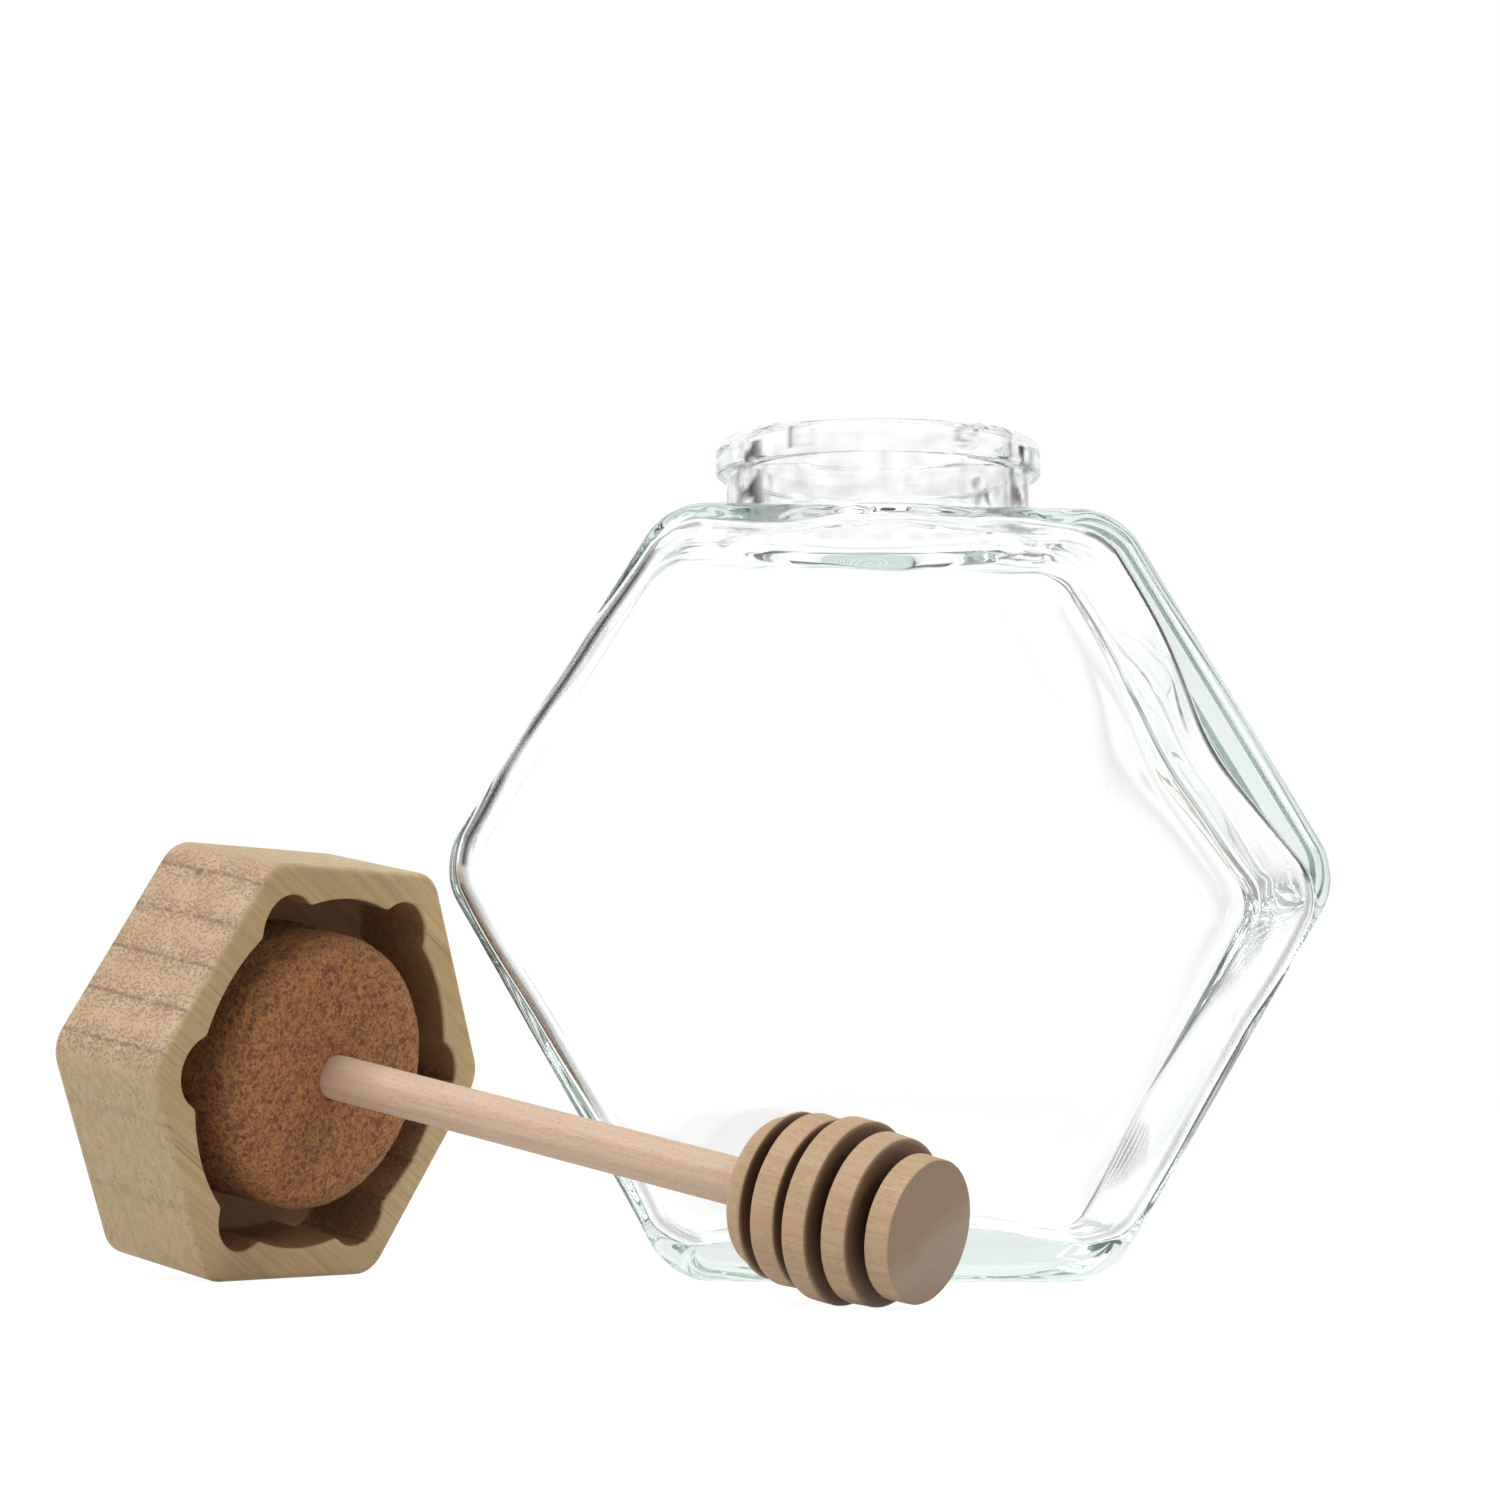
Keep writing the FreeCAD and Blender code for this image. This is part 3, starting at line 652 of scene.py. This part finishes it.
def stretched(nodes, link, place, factors):
    """A place scaled differently along its three axes, to draw a pattern out."""
    scaled = nodes.new("ShaderNodeVectorMath")
    scaled.operation = "MULTIPLY"
    link(place, scaled.inputs[0])
    scaled.inputs[1].default_value = factors
    return scaled.outputs[0]


def cloud(nodes, link, place, scale, detail=2):
    """Noise between 0 and 1."""
    texture = nodes.new("ShaderNodeTexNoise")
    link(place, texture.inputs["Vector"])
    texture.inputs["Scale"].default_value = scale
    texture.inputs["Detail"].default_value = detail
    return texture.outputs["Fac"]


def cells(nodes, link, place, scale):
    """Random cells; gives the distance to the nearest one's middle and its random colour."""
    texture = nodes.new("ShaderNodeTexVoronoi")
    link(place, texture.inputs["Vector"])
    texture.inputs["Scale"].default_value = scale
    return texture.outputs["Distance"], texture.outputs["Color"]


def facing(nodes, link, direction):
    """How squarely a surface is cut across a direction: 1 across it and 0 along it."""
    dot = nodes.new("ShaderNodeVectorMath")
    dot.operation = "DOT_PRODUCT"
    link(nodes.new("ShaderNodeTexCoord").outputs["Normal"], dot.inputs[0])
    dot.inputs[1].default_value = direction
    return calculate(nodes, link, "ABSOLUTE", dot.outputs["Value"])


def wood_surface(nodes, link, output, colour, height, depth, roughness):
    """Dry wood or cork: its colour, a fine relief of the given depth and a plain roughness."""
    surface = nodes.new("ShaderNodeBsdfPrincipled")
    link(colour, surface.inputs["Base Color"])
    surface.inputs["Roughness"].default_value = roughness
    bump = nodes.new("ShaderNodeBump")
    bump.inputs["Distance"].default_value = depth
    link(height, bump.inputs["Height"])
    link(bump.outputs[0], surface.inputs["Normal"])
    link(surface.outputs[0], output.inputs["Surface"])


# sizes of the grain, its glue lines and the small dark knot in the lid's side are in millimetres
strip_thickness, knot_spot = 6.5, (-27.8, 12.4, -11.4)
strip_along = lid_right * math.cos(twelfth) - lid_up * math.sin(twelfth)
strips_up = lid_right * math.sin(twelfth) + lid_up * math.cos(twelfth)
material, nodes, link, output = new_material("bamboo")
place, (along, up, out) = in_piece(nodes, link, (strip_along, strips_up, lid_out))
sway = calculate(nodes, link, "MULTIPLY_ADD", cloud(nodes, link, place, 0.12), 0.6,
                 calculate(nodes, link, "SUBTRACT", up, 0.3))
strip = calculate(nodes, link, "MULTIPLY_ADD", sway, 1 / strip_thickness, 0.05)
within = calculate(nodes, link, "FRACT", strip)
each_strip = nodes.new("ShaderNodeTexWhiteNoise")
each_strip.noise_dimensions = "1D"
link(calculate(nodes, link, "FLOOR", strip), each_strip.inputs["W"])
nearest = calculate(nodes, link, "MINIMUM", within, calculate(nodes, link, "SUBTRACT", 1, within))
glue = calculate(nodes, link, "MULTIPLY", fade(nodes, link, nearest, 0.07, 0.005),
                 fade(nodes, link, cloud(nodes, link, place, 1.1, 3), 0.3, 0.6))
across = fade(nodes, link, facing(nodes, link, strip_along), 0.6, 0.9)
bundle, _ = cells(nodes, link, stretched(nodes, link, place, (0.03, 2.5, 2.1)), 1)
pores = fade(nodes, link, calculate(nodes, link, "MULTIPLY_ADD", nearest, 0.45, bundle), 0.80, 0.28)
fibre, _ = cells(nodes, link, stretched(nodes, link, place, (0.018, 2.2, 2.2)), 1)
clusters = cloud(nodes, link, stretched(nodes, link, place, (0.02, 0.3, 0.3)), 1)
lines = calculate(nodes, link, "MULTIPLY", fade(nodes, link, fibre, 0.32, 0.08),
                  fade(nodes, link, clusters, 0.40, 0.60))
streaks = cloud(nodes, link, stretched(nodes, link, place, (0.04, 1.3, 1.3)), 1, 5)
fine = cloud(nodes, link, stretched(nodes, link, place, (0.25, 5, 5)), 1, 3)
long_grain = mixed(nodes, link, fade(nodes, link, streaks, 0.30, 0.70),
                   (0.520, 0.380, 0.200), (0.620, 0.470, 0.275))
end_grain = mixed(nodes, link, fade(nodes, link, cloud(nodes, link, place, 0.35, 4), 0.3, 0.7),
                  (0.55, 0.380, 0.235), (0.65, 0.465, 0.300))
colour = mixed(nodes, link, across, long_grain, end_grain)
front_face = fade(nodes, link, facing(nodes, link, lid_out), 0.6, 0.9)
colour = mixed(nodes, link, front_face, colour, (0.94, 0.87, 0.79), "MULTIPLY")
colour = mixed(nodes, link, calculate(nodes, link, "MULTIPLY", each_strip.outputs["Value"], 0.35), colour,
               (0.86, 0.80, 0.70), "MULTIPLY")
pores = calculate(nodes, link, "MULTIPLY", pores, across)
lines = calculate(nodes, link, "MULTIPLY", lines, calculate(nodes, link, "SUBTRACT", 1, across))
colour = mixed(nodes, link, calculate(nodes, link, "MULTIPLY", pores, 0.62), colour, (0.22, 0.125, 0.065))
colour = mixed(nodes, link, calculate(nodes, link, "MULTIPLY", lines, 0.75), colour, (0.19, 0.115, 0.055))
glue = calculate(nodes, link, "MULTIPLY", glue, calculate(nodes, link, "MULTIPLY_ADD", across, 0.45, 0.20))
colour = mixed(nodes, link, glue, colour, (0.17, 0.10, 0.06))
knot = nodes.new("ShaderNodeVectorMath")
knot.operation = "DISTANCE"
link(place, knot.inputs[0])
knot.inputs[1].default_value = knot_spot
in_knot = calculate(nodes, link, "MULTIPLY", fade(nodes, link, knot.outputs["Value"], 0.9, 0.2), 0.7)
colour = mixed(nodes, link, in_knot, colour, (0.12, 0.06, 0.03))
colour = mixed(nodes, link, calculate(nodes, link, "MULTIPLY", fine, 0.3), colour,
               (0.8, 0.74, 0.66), "MULTIPLY")
# inside the hollow, below the open face, the wood is darkened: painted shade
from_axis = distance_off(nodes, link, along, up)
painted_hollow_shade = calculate(nodes, link, "MULTIPLY", fade(nodes, link, from_axis, 27.2, 26.9),
                   fade(nodes, link, out, -0.2, -0.7))
painted_hollow_shade = calculate(nodes, link, "MULTIPLY", painted_hollow_shade, fade(nodes, link, out, -14, -13))
colour = mixed(nodes, link, painted_hollow_shade, colour, (0.54, 0.40, 0.31), "MULTIPLY")
height = calculate(nodes, link, "MULTIPLY_ADD", pores, -0.5, calculate(nodes, link, "ADD", streaks, fine))
wood_surface(nodes, link, output, colour, height, 0.06 * mm, 0.58)
lid_piece.data.materials.append(material)


# ---- Cork stopper ------------------------------------------------------------------------------
# Plug of pressed cork granules, turned to a slight taper with a round rim, glued into the lid and
# drilled for the dipper's rod.

cork_root, cork_tip, cork_foot, cork_face, cork_soft = 18.9 * mm, 18.6 * mm, -12.5 * mm, 2 * mm, 4 * mm
hole, hole_floor, hole_soft = 3.05 * mm, -7 * mm, 0.3 * mm
granule, fullness = 1.25 * mm, 0.08 * mm
cork = bmesh.new()
bmesh.ops.create_circle(cork, cap_ends=True, segments=320, radius=cork_root)
bmesh.ops.translate(cork, verts=cork.verts, vec=(0, 0, cork_foot))
shoulder = cork_tip + fullness
rings = [(cork_root + (shoulder - cork_root) * step / 24,
          cork_foot + (cork_face - cork_soft - cork_foot) * step / 24) for step in range(1, 25)]
rings += bend((shoulder - cork_soft, cork_face - cork_soft), cork_soft, 6, 90, 16)
rings += [(shoulder - cork_soft - (shoulder - cork_soft - hole - hole_soft) * step / 32, cork_face)
          for step in range(1, 33)]
rings += bend((hole + hole_soft, cork_face - hole_soft), hole_soft, 120, 180, 2)
rings += [(hole, cork_face - hole_soft + (hole_floor - cork_face + hole_soft) * step / 6)
          for step in range(1, 7)]
bmesh.ops.contextual_create(cork, geom=turn_neck(cork, list(cork.edges), rings))
bmesh.ops.recalc_face_normals(cork, faces=cork.faces)

# the granules are low relief, sunk from a plug that starts a little full
for vert in cork.verts:
    if vert.co.xy.length > hole + 2 * hole_soft and vert.co.z > cork_foot + 0.1 * mm:
        near, places = noise.voronoi(vert.co / granule)
        seam = max(0, 1 - (near[1] - near[0]) / 0.30)
        sunk = 0.10 * seam ** 2 + 0.07 * noise.cell(places[0] * 7.3) + 0.05 * abs(uneven(vert.co, 5))
        vert.co -= vert.normal * sunk * mm
cork_piece = lay_down(cork, "cork_stopper")

material, nodes, link, output = new_material("cork")
place, _ = in_piece(nodes, link, (lid_right, lid_up, lid_out))
_, shade = cells(nodes, link, place, 1.5)
tone = nodes.new("ShaderNodeSeparateColor")
link(shade, tone.inputs[0])
colour = mixed(nodes, link, tone.outputs[0], (0.150, 0.055, 0.017), (0.42, 0.168, 0.052))
_, small_shade = cells(nodes, link, place, 3.2)
small_tone = nodes.new("ShaderNodeSeparateColor")
link(small_shade, small_tone.inputs[0])
colour = mixed(nodes, link, calculate(nodes, link, "MULTIPLY", small_tone.outputs[1], 0.65), colour,
               (0.56, 0.265, 0.096))
specks = calculate(nodes, link, "MAXIMUM", fade(nodes, link, small_tone.outputs[2], 0.86, 0.89),
                   fade(nodes, link, tone.outputs[2], 0.90, 0.92))
colour = mixed(nodes, link, calculate(nodes, link, "MULTIPLY", specks, 0.6), colour, (0.085, 0.036, 0.018))
pits = fade(nodes, link, cloud(nodes, link, place, 3.4, 3), 0.54, 0.70)
colour = mixed(nodes, link, calculate(nodes, link, "MULTIPLY", pits, 0.55), colour, (0.12, 0.050, 0.025))
height = calculate(nodes, link, "SUBTRACT", cloud(nodes, link, place, 2.4, 5),
                   calculate(nodes, link, "MULTIPLY", pits, 0.6))
wood_surface(nodes, link, output, colour, height, 0.12 * mm, 0.85)
cork_piece.data.materials.append(material)


# ---- Honey dipper ------------------------------------------------------------------------------
# Turned from one stick of beech: a 6 mm rod glued into the cork, and a head of five discs with deep
# grooves cut between them, darkened inside with painted shade.

rod, rod_end, head_start, head_end = 3 * mm, -7 * mm, 74.2 * mm, 97.9 * mm
disc_thickness, disc_pitch, groove_radius, disc_soft = 3.3 * mm, 5.1 * mm, 4.6 * mm, 0.3 * mm
disc_radii = ((9.4, 10.3), (10.6, 10.4), (11.2, 11.2), (10.4, 10.2), (8.8, 8.7))
head_soft, nick, groove_shade_depth = 1.5 * mm, 0.05 * mm, 3.5 * mm
last_disc = len(disc_radii) - 1
outline = [(0, rod_end), (rod * 0.5, rod_end), (rod - nick, rod_end), (rod, rod_end + nick)]
outline += [(rod, rod_end + (head_start - rod_end) * step / 80) for step in range(1, 80)]
outline += [(rod, head_start - nick), (rod + nick, head_start)]
for disc, (back_radius, front_radius) in enumerate(disc_radii):
    back = head_start + disc * disc_pitch
    front = back + disc_thickness
    soft = disc_soft if disc else head_soft
    outline += [(groove_radius + (back_radius * mm - soft - groove_radius) * step / 6, back)
                for step in range(1, 6)]
    outline += bend((back_radius * mm - soft, back + soft), soft, 270, 360, 6)
    outline += [(back_radius * mm + (front_radius - back_radius) * mm * step / 5,
                 back + soft + (front - disc_soft - back - soft) * step / 5) for step in range(1, 5)]
    outline += bend((front_radius * mm - disc_soft, front - disc_soft), disc_soft, 0, 90, 5)
    inner = groove_radius if disc < last_disc else 0
    outline += [(inner + (front_radius * mm - disc_soft - inner) * step / 6, front)
                for step in range(5, 0, -1)]
    if disc < last_disc:
        outline += [(groove_radius + nick, front), (groove_radius, front + nick),
                    (groove_radius, front + 0.9 * mm),
                    (groove_radius, front + disc_pitch - disc_thickness - nick),
                    (groove_radius + nick, front + disc_pitch - disc_thickness)]
outline.append((0, head_end))
dipper = bmesh.new()
groove = dipper.verts.layers.float.new("groove")
verts = [dipper.verts.new((radius, 0, height)) for radius, height in outline]
edges = [dipper.edges.new(pair) for pair in zip(verts, verts[1:])]
bmesh.ops.spin(dipper, geom=verts + edges, cent=(0, 0, 0), axis=(0, 0, 1), angle=math.radians(360), steps=160,
               use_merge=True)
bmesh.ops.remove_doubles(dipper, verts=dipper.verts, dist=same_place)
bmesh.ops.recalc_face_normals(dipper, faces=dipper.faces)

# "groove" grows from 0 just below a disc's edge to 1 deep in the groove, where the painted shade is
# darkest, and the discs' edges are a little worn
flanks = [(head_start + disc * disc_pitch + side * disc_thickness, disc_radii[disc][side] * mm)
          for disc in range(len(disc_radii)) for side in (0, 1)][1:-1]
for vert in dipper.verts:
    edge, edge_radius = min(flanks, key=lambda flank: abs(flank[0] - vert.co.z))
    if flanks[0][0] - hair < vert.co.z < flanks[-1][0] + hair:
        vert[groove] = max(0, min(1, (edge_radius - 0.35 * mm - vert.co.xy.length) / groove_shade_depth))
    if vert.co.z > head_start + disc_soft and vert.co.xy.length > groove_radius + mm:
        worn = uneven(vert.co, 0.7) * 0.5 + uneven(vert.co, 3)
        vert.co.xy *= 1 - 0.0045 * abs(worn)
dipper_piece = lay_down(dipper, "honey_dipper")

material, nodes, link, output = new_material("beech")
place, (right, up, out) = in_piece(nodes, link, (lid_right, lid_up, lid_out))
across = fade(nodes, link, facing(nodes, link, lid_out), 0.7, 0.95)
heart = distance_off(nodes, link, calculate(nodes, link, "ADD", right, 21),
                     calculate(nodes, link, "SUBTRACT", up, 30))
bends = cloud(nodes, link, stretched(nodes, link, place, (1, 1, 0.15)), 0.2)
heart = calculate(nodes, link, "MULTIPLY_ADD", bends, 1.6, heart)
years = calculate(nodes, link, "SINE", calculate(nodes, link, "MULTIPLY", heart, 3.6))
years = fade(nodes, link, years, -0.6, 1)
streaks = cloud(nodes, link, stretched(nodes, link, place, (2.6, 2.6, 0.09)), 1, 5)
flecks = fade(nodes, link, cloud(nodes, link, stretched(nodes, link, place, (5.5, 5.5, 1.4)), 1), 0.58, 0.70)
head = fade(nodes, link, out, 73, 76)
streaked = fade(nodes, link, streaks, 0.2, 0.8)
stick = mixed(nodes, link, streaked, (0.64, 0.450, 0.310), (0.74, 0.545, 0.395))
turned = mixed(nodes, link, streaked, (0.50, 0.330, 0.185), (0.59, 0.410, 0.245))
side_wood = mixed(nodes, link, head, stick, turned)
patch = calculate(nodes, link, "MULTIPLY_ADD", cloud(nodes, link, place, 0.3, 3), 5, right)
patch = calculate(nodes, link, "SUBTRACT", patch, calculate(nodes, link, "MULTIPLY", up, 1.6))
end_wood = mixed(nodes, link, fade(nodes, link, patch, 0, 9), (0.315, 0.210, 0.125), (0.40, 0.290, 0.205))
colour = mixed(nodes, link, across, side_wood, end_wood)
years = calculate(nodes, link, "MULTIPLY", years, calculate(nodes, link, "MULTIPLY_ADD", across, -0.12, 0.2))
colour = mixed(nodes, link, years, colour, (0.80, 0.70, 0.60), "MULTIPLY")
colour = mixed(nodes, link, calculate(nodes, link, "MULTIPLY", flecks, 0.32), colour, (0.27, 0.145, 0.080))
# painted shade in the grooves, darkest deep down
cut = nodes.new("ShaderNodeAttribute")
cut.attribute_name = "groove"
painted_groove_shade = mixed(nodes, link, cut.outputs["Fac"], (0.66, 0.50, 0.40), (0.26, 0.17, 0.12))
colour = mixed(nodes, link, fade(nodes, link, cut.outputs["Fac"], 0.0, 0.12), colour, painted_groove_shade, "MULTIPLY")
height = calculate(nodes, link, "MULTIPLY_ADD", flecks, -0.6, streaks)
wood_surface(nodes, link, output, colour, height, 0.05 * mm, 0.6)
dipper_piece.data.materials.append(material)
